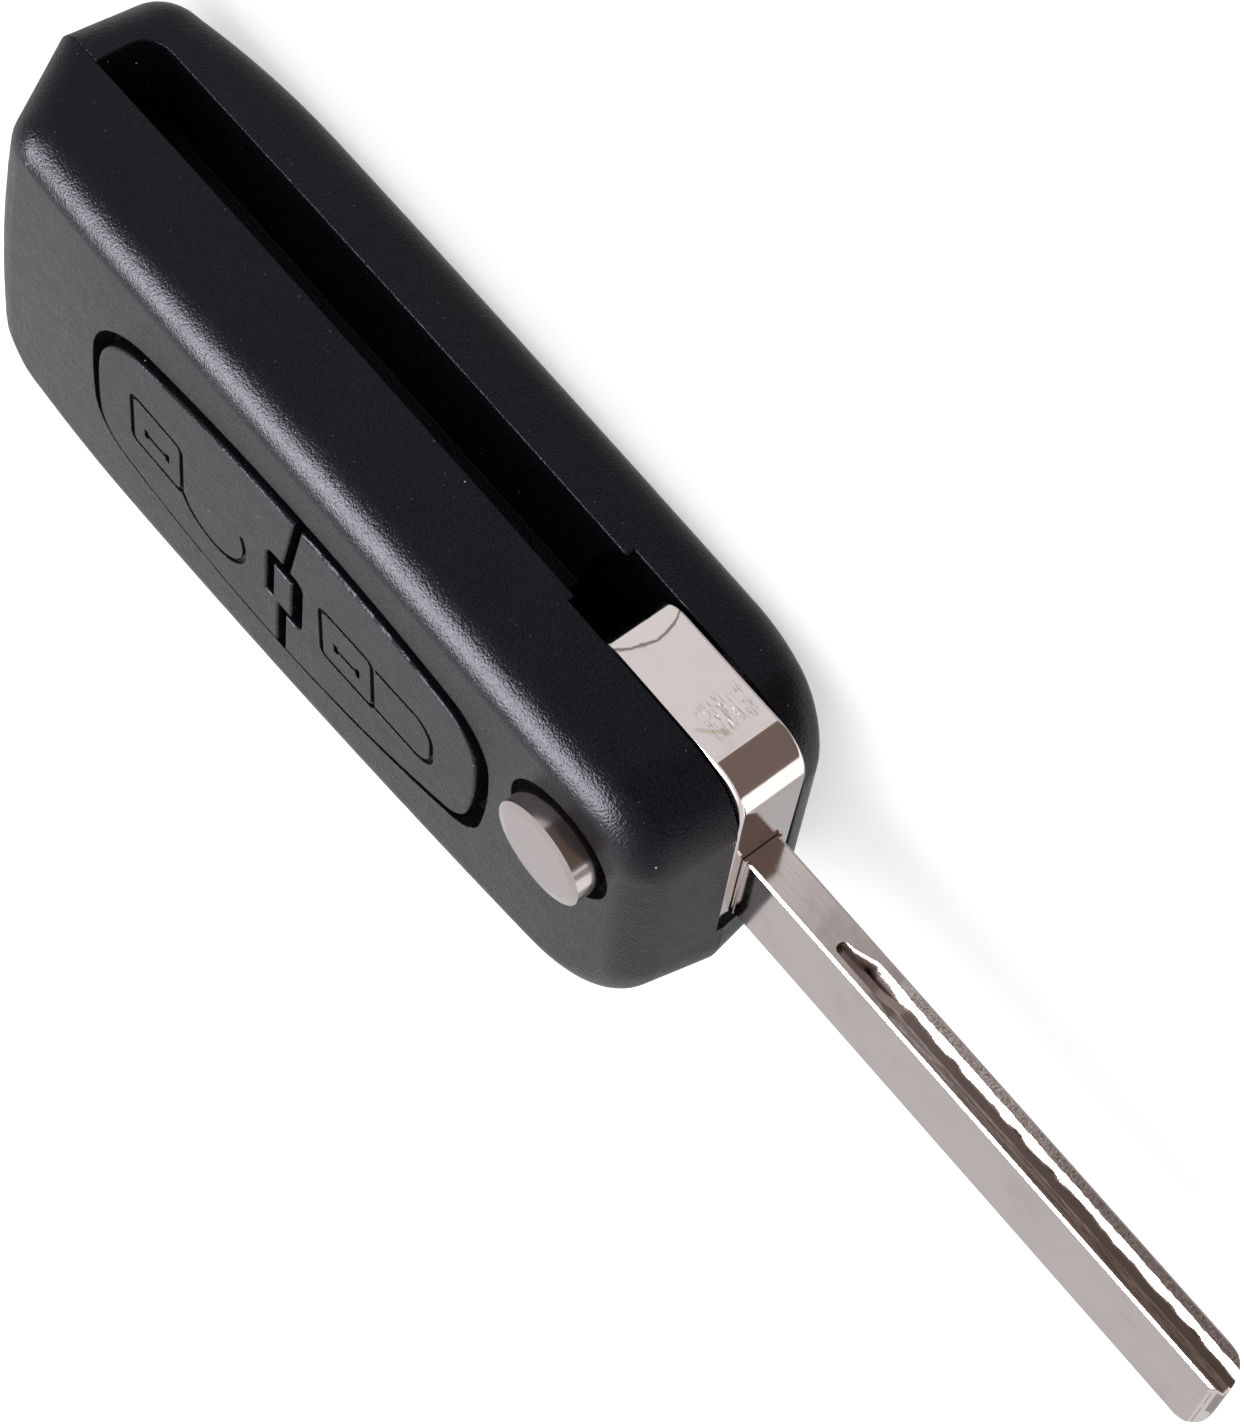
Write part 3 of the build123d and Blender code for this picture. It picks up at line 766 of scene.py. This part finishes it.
        # painted shade: the groove's floor and the lines beside the chamfers are darkened
        tint = bench.stain(floor, 0.85, tint, self.painted_shade)
        tint = bench.stain(self.lines(bench, z), 0.8, tint, self.painted_shade)
        rough = bench.ramp(lines, 0.3, 0.7, self.rough - 0.03, self.rough + 0.05)
        rough = bench.sums("ADD", rough, bench.product(patch, 0.10))
        rough = bench.sums("ADD", rough, bench.product(bench.sums("MAXIMUM", beaten, floor), 0.12))
        normal = bench.relief(lines, 0.0006)
        normal = bench.relief(bench.product(hammer, beaten), self.beaten_depth, normal)
        normal = bench.relief(bench.product(streaks, ledge), self.milled_depth, normal)
        return bench.finish(tint, rough, normal, metallic=1.0)


@dataclass
class BladeBar:
    """The blade: one section with both edge profiles, drawn out from the head to the tip.

    Lengths are in millimetres, and places are from the pivot. A profile runs down one edge from
    the front face to the rear face, as pairs of depth under the edge and height over the middle.
    All three profiles have the same count of pairs: sunk gives the first and the end of those in
    the groove, and waved the groups of pairs whose height wavers together.
    """

    finish: GroovedSteel = field(default_factory=GroovedSteel)
    edge: float = -0.74
    width: float = 8.0
    half: float = 1.5
    root: float = 8.07
    end: float = 52.9
    start: float = 16.2
    start_radius: float = 0.45
    start_middle: float = 0.45
    start_gap: float = 0.02
    start_turn: tuple[float, ...] = (0.0, 0.004, 0.05, 0.15, 0.3, 0.5, 0.75, 1.0)
    pocket_to: float = 16.8
    scoop_at: Pair = (18.7, 20.2)
    track_from: float = 21.9
    even_from: float = 16.9
    step: float = 0.42
    wave_from: float = 21.0
    wave: float = 0.012
    waved: tuple[tuple[int, ...], ...] = ((5, 7), (8, 9, 10))
    sunk: tuple[int, int] = (2, 11)
    seed: int = 7
    tip_rear: float = 2.2
    tip_back: float = 2.8
    tip_slot: float = 0.4
    round_cuts: int = 9
    slot_cuts: int = 4
    bevel_at: Pair = (0.45, 0.2)
    bevel_way: Triple = (0.4, 0.0, 0.9)
    tang_from: float = 2.45
    tang_bridge: float = 4.35
    tang_half_width: float = 3.0
    tang_half: float = 1.0
    pin_gap: float = 0.85
    fork_lap: float = 0.05
    root_lap: float = 0.02
    bead_width: float = 0.28
    bead_height: float = 0.10
    bead_round: float = 0.08
    sharp_from: float = 22.0
    weld: float = 0.0005
    pocket: tuple[Pair, ...] = (
        (0.15, 1.50), (0.0, 1.35), (0.0, 0.97), (0.0, 0.94), (0.0, 0.92), (0.03, 0.90),
        (0.85, 0.88), (0.85, 0.03), (0.04, 0.01), (0.02, -0.01), (0.0, -0.03), (0.0, -1.28), (0.22, -1.50))
    scoop: tuple[Pair, ...] = (
        (0.15, 1.50), (0.0, 1.35), (0.0, 0.97), (0.0, 0.94), (0.0, 0.92), (0.03, 0.90),
        (0.88, 0.86), (0.88, 0.02), (0.86, 0.0), (0.04, -0.69), (0.0, -0.72), (0.0, -1.28), (0.22, -1.50))
    track: tuple[Pair, ...] = (
        (0.15, 1.50), (0.0, 1.35), (0.0, 1.22), (0.08, 1.17), (0.11, 0.60), (0.19, 0.50),
        (0.52, 0.47), (0.52, -0.18), (0.50, -0.20), (0.03, -0.60), (0.0, -0.64), (0.0, -1.28), (0.22, -1.50))

    def profile(self, x: float) -> list[Pair]:
        """Gives the edge profile at one distance from the pivot.

        Args:
            x: The distance.

        Returns:
            The pairs of depth and height.
        """
        keys = ((self.start, self.pocket), (self.pocket_to, self.pocket),
                (self.scoop_at[0], self.scoop), (self.scoop_at[1], self.scoop),
                (self.track_from, self.track), (self.end, self.track))
        low, high, share = self.pocket, self.pocket, 0.0
        for (from_x, first), (to_x, second) in zip(keys, keys[1:]):
            if from_x <= x <= to_x:
                low, high, share = first, second, (x - from_x) / (to_x - from_x)
        pairs = [(a[0] + (b[0] - a[0]) * share, a[1] + (b[1] - a[1]) * share) for a, b in zip(low, high)]
        run = min(max((x - self.start) / self.start_radius, 0.0), 1.0)
        if run >= 1.0:
            return pairs
        first, last = self.sunk
        open_by = 1.0 if run > 0.0 else 0.0
        spread = self.start_gap + (1.0 - self.start_gap) * math.sqrt(1.0 - (1.0 - run) ** 2)
        closed = [(depth * open_by, self.start_middle + (height - self.start_middle) * spread)
                  for depth, height in pairs[first:last]]
        return pairs[:first] + closed + pairs[last:]

    def stops(self) -> list[float]:
        """Gives the distances from the pivot at which a section is drawn.

        Returns:
            The distances, from the head to the tip.
        """
        round_start = [self.start + self.start_radius * t for t in self.start_turn]
        run = self.end - self.even_from
        count = round(run / self.step)
        return [self.root] + round_start + [self.even_from + run * i / count for i in range(count + 1)]

    def section(self, x: float, pairs: list[Pair]) -> list[Vector]:
        """Places one edge profile on both edges, the second one turned half round.

        Args:
            x: Distance of the section from the pivot.
            pairs: The edge profile.

        Returns:
            The points of the section.
        """
        points = []
        for turn in (1.0, -1.0):
            for depth, height in pairs:
                across = turn * (self.width / 2 - depth) + self.edge - self.width / 2
                points.append(hinge() + MM * Vector((x, across, turn * height)))
        return points

    def waver(self, pairs: list[Pair], chance: random.Random) -> None:
        """Shifts the groove's upper and lower milled edges a little in height.

        Args:
            pairs: The edge profile, which is changed.
            chance: The source of the shifts.
        """
        for moved in self.waved:
            drift = chance.uniform(-self.wave, self.wave)
            for i in moved:
                depth, height = pairs[i]
                pairs[i] = (depth, height + drift)

    def bar(self, bm: bmesh.types.BMesh) -> None:
        """Draws out the bar with its two grooves.

        Args:
            bm: The mesh that it is added to.
        """
        chance = random.Random(self.seed)
        stops = self.stops()
        ring = [bm.verts.new(p) for p in self.section(stops[0], self.profile(stops[0]))]
        edges = [bm.edges.new((a, b)) for a, b in zip(ring, ring[1:] + ring[:1])]
        bmesh.ops.contextual_create(bm, geom=edges)
        for x in stops[1:]:
            pairs = self.profile(x)
            if x > self.wave_from:
                self.waver(pairs, chance)
            grown = bmesh.ops.extrude_edge_only(bm, edges=edges)["geom"]
            fresh = {v for v in grown if isinstance(v, bmesh.types.BMVert)}
            ring = [next(e.other_vert(v) for e in v.link_edges if e.other_vert(v) in fresh) for v in ring]
            for vert, point in zip(ring, self.section(x, pairs)):
                vert.co = point
            drawn = (e for e in grown if isinstance(e, bmesh.types.BMEdge))
            edges = [e for e in drawn if all(v in fresh for v in e.verts)]
        bmesh.ops.holes_fill(bm, edges=edges, sides=0)

    def trim(self, bm: bmesh.types.BMesh, point: Triple, normal: Triple) -> None:
        """Cuts off what lies beyond one plane and closes the cut.

        Args:
            bm: The mesh that is cut.
            point: A point of the plane, from the pivot.
            normal: The way that it faces, away from what stays.
        """
        geometry = bm.verts[:] + bm.edges[:] + bm.faces[:]
        bmesh.ops.bisect_plane(bm, geom=geometry, plane_co=hinge() + MM * Vector(point),
                               plane_no=normal, clear_outer=True)
        bmesh.ops.holes_fill(bm, edges=[e for e in bm.edges if e.is_boundary], sides=0)

    def tip(self, bm: bmesh.types.BMesh) -> None:
        """Rounds the tip towards the rear and in plan, and bevels it to the front.

        Args:
            bm: The mesh that is cut.
        """
        rear, back = -self.half, self.edge - self.width
        for i in range(1, self.round_cuts):
            turn = math.radians(90.0) * i / self.round_cuts
            way = (math.sin(turn), 0.0, -math.cos(turn))
            self.trim(bm, (self.end - self.tip_rear + self.tip_rear * way[0], 0.0,
                           rear + self.tip_rear + self.tip_rear * way[2]), way)
        for radius, side, sign, cuts in ((self.tip_back, back, -1.0, self.round_cuts),
                                         (self.tip_slot, self.edge, 1.0, self.slot_cuts)):
            for i in range(1, cuts):
                turn = math.radians(90.0) * i / cuts
                way = (math.sin(turn), sign * math.cos(turn), 0.0)
                self.trim(bm, (self.end - radius + radius * way[0],
                               side - sign * radius + radius * way[1], 0.0), way)
        self.trim(bm, (self.end - self.bevel_at[0], 0.0, self.half - self.bevel_at[1]), self.bevel_way)

    def box(self, bm: bmesh.types.BMesh, low: Triple, high: Triple) -> list[bmesh.types.BMEdge]:
        """Adds a plain block between two corners.

        Args:
            bm: The mesh that it is added to.
            low: Its least corner, from the pivot.
            high: Its greatest corner.

        Returns:
            Its edges, always in the same order.
        """
        made = bmesh.ops.create_cube(bm, size=1.0)["verts"]
        for vert in made:
            place = [least + (most - least) * (c + 0.5) for least, most, c in zip(low, high, vert.co)]
            vert.co = hinge() + MM * Vector(place)
        return list(dict.fromkeys(e for v in made for e in v.link_edges))

    def tang(self, bm: bmesh.types.BMesh) -> None:
        """Adds the tang inside the head, forked round the pin.

        Args:
            bm: The mesh that it is added to.
        """
        middle, wide, half = self.edge - self.width / 2, self.tang_half_width, self.tang_half
        self.box(bm, (self.tang_from, middle - wide, -half), (self.tang_bridge, middle + wide, half))
        for low, high in ((-wide, -self.pin_gap), (self.pin_gap, wide)):
            self.box(bm, (self.tang_bridge - self.fork_lap, middle + low, -half),
                     (self.root + self.root_lap, middle + high, half))

    def bead(self, bm: bmesh.types.BMesh) -> None:
        """Adds the rim round the blade where it enters the head.

        Args:
            bm: The mesh that it is added to.
        """
        rise = self.bead_height
        edges = self.box(bm, (self.root, self.edge - self.width - rise, -self.half - rise),
                         (self.root + self.bead_width, self.edge + rise, self.half + rise))
        bmesh.ops.bevel(bm, geom=edges, offset=self.bead_round * MM, offset_type="OFFSET", segments=2,
                        profile=0.5, affect="EDGES", clamp_overlap=True, material=-1)

    def build(self) -> None:
        """Makes the blade, lets it ride with the head and hides the plain one."""
        bm = bmesh.new()
        self.bar(bm)
        self.tip(bm)
        self.tang(bm)
        self.bead(bm)
        bmesh.ops.remove_doubles(bm, verts=bm.verts[:], dist=self.weld * MM)
        bmesh.ops.recalc_face_normals(bm, faces=bm.faces[:])
        mesh = bpy.data.meshes.new("milled_blade")
        bm.to_mesh(mesh)
        bm.free()
        mesh.polygons.foreach_set("use_smooth", [True] * len(mesh.polygons))
        mesh.set_sharp_from_angle(angle=math.radians(self.sharp_from))
        blade = bpy.data.objects.new("milled_blade", mesh)
        bpy.context.scene.collection.objects.link(blade)
        mesh.materials.append(self.finish.material())
        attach(blade, "blade")
        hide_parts("key_blade")
        log.info("milled_blade: %d faces", len(mesh.polygons))


@dataclass
class FlipBlade:
    """The plated head and blade that turn out of the fob, and the pin that joins them."""

    head_finish: HeadNickel = field(default_factory=HeadNickel)
    bar: BladeBar = field(default_factory=BladeBar)
    pin_steel: BareMetal = field(default_factory=lambda: BareMetal(
        "pin_ground_steel", (0.50, 0.49, 0.47), 0.22))

    def dress(self) -> None:
        """Gives the head, the blade and the pin their finishes."""
        dress("blade_head", self.head_finish.material())
        self.bar.build()
        dress("blade_pin", self.pin_steel.material())


@dataclass
class Release:
    """The release knob, the spring that throws the blade out and the seat of the spring."""

    knob_finish: Plating = field(default_factory=lambda: Plating(
        "knob_satin_nickel", colour=(0.45, 0.405, 0.39)))
    spring_steel: BareMetal = field(default_factory=lambda: BareMetal(
        "spring_blued_steel", (0.36, 0.35, 0.35), 0.25))
    seat: MouldedPlastic = field(default_factory=lambda: MouldedPlastic(
        "seat_plain_plastic", colour=(0.02, 0.02, 0.021), rough=0.5, gloss=0.4, dust=0.0))

    def dress(self) -> None:
        """Gives the knob, the spring and its seat their finishes."""
        dress("release_button", self.knob_finish.material())
        dress("flip_spring", self.spring_steel.material())
        dress("spring_seat", self.seat.material())


class Room(Bench):
    """Lays out the nodes of the room's light, by the direction that is looked in."""

    def __init__(self) -> None:
        """Starts an empty world."""
        self.world = bpy.data.worlds.new("studio")
        bpy.context.scene.world = self.world
        self.world.use_nodes = True
        tree = self.world.node_tree
        tree.nodes.clear()
        self.nodes = tree.nodes
        self.links = tree.links

    def direction(self) -> tuple[Socket, Socket]:
        """Gives the direction that is looked in.

        Returns:
            Its azimuth from +Y towards +X in radians, and its height from -1 to 1.
        """
        way = self.nodes.new("ShaderNodeTexCoord").outputs["Generated"]
        x, y, z = self.split(way)
        return self.sums("ARCTAN2", x, y), z

    def band(self, azimuth: Socket, low: float, high: float, fade: float) -> Socket:
        """Gives 1 between two azimuths, fading to 0 outside them.

        Args:
            azimuth: The azimuth that is looked in.
            low: The lower limit in radians.
            high: The upper limit.
            fade: Half the width of each fade.

        Returns:
            The socket of the band.
        """
        rise = self.ramp(azimuth, low - fade, low + fade)
        fall = self.ramp(azimuth, high - fade, high + fade, 1.0, 0.0)
        return self.product(rise, fall)

    def below(self, height: Socket, low: float, high: float) -> Socket:
        """Gives 1 below one height, fading to 0 at another."""
        return self.ramp(height, low, high, 1.0, 0.0)

    def close(self, sky: Colour, tent: Socket) -> None:
        """Joins the light of the room, what reflections show and what the camera sees.

        Args:
            sky: The light that falls on the object.
            tent: The surroundings that reflections show.
        """
        output = self.nodes.new("ShaderNodeOutputWorld")
        rays = self.nodes.new("ShaderNodeLightPath")
        mirrored = self.sums("MAXIMUM", rays.outputs["Is Glossy Ray"], rays.outputs["Is Transmission Ray"])
        shade = self.blend(mirrored, sky, tent)
        shade = self.blend(rays.outputs["Is Camera Ray"], shade, (1.0, 1.0, 1.0))
        light = self.nodes.new("ShaderNodeBackground")
        self.feed(light.inputs["Color"], shade)
        self.links.new(light.outputs[0], output.inputs["Surface"])


@dataclass
class Studio:
    """A pale floor, a pale tent with dark and bright parts, a soft lamp and the camera.

    An azimuth runs from +Y towards +X in radians, and the height of a direction from -1 to 1. The
    third number of an azimuth's range is half the width of its fades.
    """

    floor_size: float = 3.0
    floor_colour: Colour = (0.86, 0.86, 0.86)
    floor_lift: float = 0.56
    sky: Colour = (0.80, 0.80, 0.81)
    tent: Colour = (0.86, 0.85, 0.87)
    tent_back: Colour = (0.52, 0.51, 0.52)
    tent_side: Colour = (1.55, 1.53, 1.52)
    tent_low: Colour = (0.56, 0.55, 0.58)
    tent_top: Colour = (1.75, 1.74, 1.76)
    tent_dark: Colour = (0.20, 0.155, 0.135)
    dark_azimuth: Triple = (-0.235, 1.50, 0.045)
    dark_top: Pair = (0.25, 0.40)
    bright_azimuth: Triple = (1.52, 2.45, 0.06)
    bright_top: Pair = (0.05, 0.25)
    back_azimuth: Pair = (1.9, 2.3)
    back_top: Pair = (-0.15, 0.05)
    low_top: Pair = (-0.85, -0.55)
    top_from: Pair = (0.74, 0.90)
    lens: float = 100.84
    camera_step: Triple = (0.072905, 0.230051, 0.089694)
    camera_turn: Triple = (-57.5874, 50.3819, 7.489)
    key_way: Triple = (-0.30, 0.07, 0.95)
    key_size: float = 0.46
    key_power: float = 20.5
    key_distance: float = 0.6

    def floor(self) -> None:
        """Lays the floor and gives it its pale surface."""
        bpy.ops.mesh.primitive_plane_add(size=self.floor_size)
        floor = bpy.context.object
        floor.name = "studio_floor"
        bench = Bench("floor_pale")
        rays = bench.nodes.new("ShaderNodeLightPath")
        seen = bench.sums("MAXIMUM", rays.outputs["Is Camera Ray"], rays.outputs["Is Transmission Ray"])
        shell = bench.finish(self.floor_colour, 0.9, gloss=0.0)
        bench.feed(bench.shader.inputs["Emission Color"], (1.0, 1.0, 1.0))
        bench.feed(bench.shader.inputs["Emission Strength"], bench.product(seen, self.floor_lift))
        floor.data.materials.append(shell)
        floor.visible_glossy = False

    def world(self) -> None:
        """Lights the room plainly, with a tent round it that only reflections show."""
        bench = Room()
        azimuth, height = bench.direction()
        dark = bench.product(bench.band(azimuth, *self.dark_azimuth), bench.below(height, *self.dark_top))
        side = bench.product(bench.band(azimuth, *self.bright_azimuth), bench.below(height, *self.bright_top))
        behind = bench.ramp(bench.sums("ABSOLUTE", azimuth), *self.back_azimuth)
        back = bench.product(behind, bench.below(height, *self.back_top))
        tent = bench.blend(bench.below(height, *self.low_top), self.tent, self.tent_low)
        tent = bench.blend(bench.ramp(height, *self.top_from), tent, self.tent_top)
        tent = bench.blend(back, tent, self.tent_back)
        tent = bench.blend(side, tent, self.tent_side)
        tent = bench.blend(dark, tent, self.tent_dark)
        bench.close(self.sky, tent)

    def lamp(self) -> None:
        """Hangs a square soft lamp that looks at the fob and only shows as a glint."""
        light = bpy.data.lights.new("glint_softbox", "AREA")
        light.shape = "SQUARE"
        light.size = self.key_size
        light.energy = self.key_power
        lamp = bpy.data.objects.new("glint_softbox", light)
        bpy.context.scene.collection.objects.link(lamp)
        way = Vector(self.key_way).normalized()
        lamp.location = hinge() + self.key_distance * way
        lamp.rotation_euler = way.to_track_quat("Z", "Y").to_euler()
        lamp.visible_diffuse = False

    def camera(self) -> None:
        """Sets the camera where the photograph was taken from."""
        lens = bpy.data.cameras.new("camera")
        lens.lens = self.lens
        lens.sensor_width = 36.0
        lens.clip_start = 0.01
        camera = bpy.data.objects.new("camera", lens)
        bpy.context.scene.collection.objects.link(camera)
        camera.location = hinge() + Vector(self.camera_step)
        camera.rotation_euler = Euler([math.radians(a) for a in self.camera_turn], "XYZ")
        bpy.context.scene.camera = camera

    def build(self) -> None:
        """Sets up the floor, the room, the lamp and the camera."""
        self.floor()
        self.world()
        self.lamp()
        self.camera()
        bpy.context.scene.view_settings.view_transform = "Standard"
        log.info("studio: floor, room light, lamp and camera")


def main() -> None:
    """Dresses the fob's sub-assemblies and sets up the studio."""
    logging.basicConfig(level=logging.INFO, format="%(name)s %(message)s")
    for part in (Housing(), Buttons(), FlipBlade(), Release()):
        part.dress()
    Studio().build()


if __name__ == "__main__":
    main()
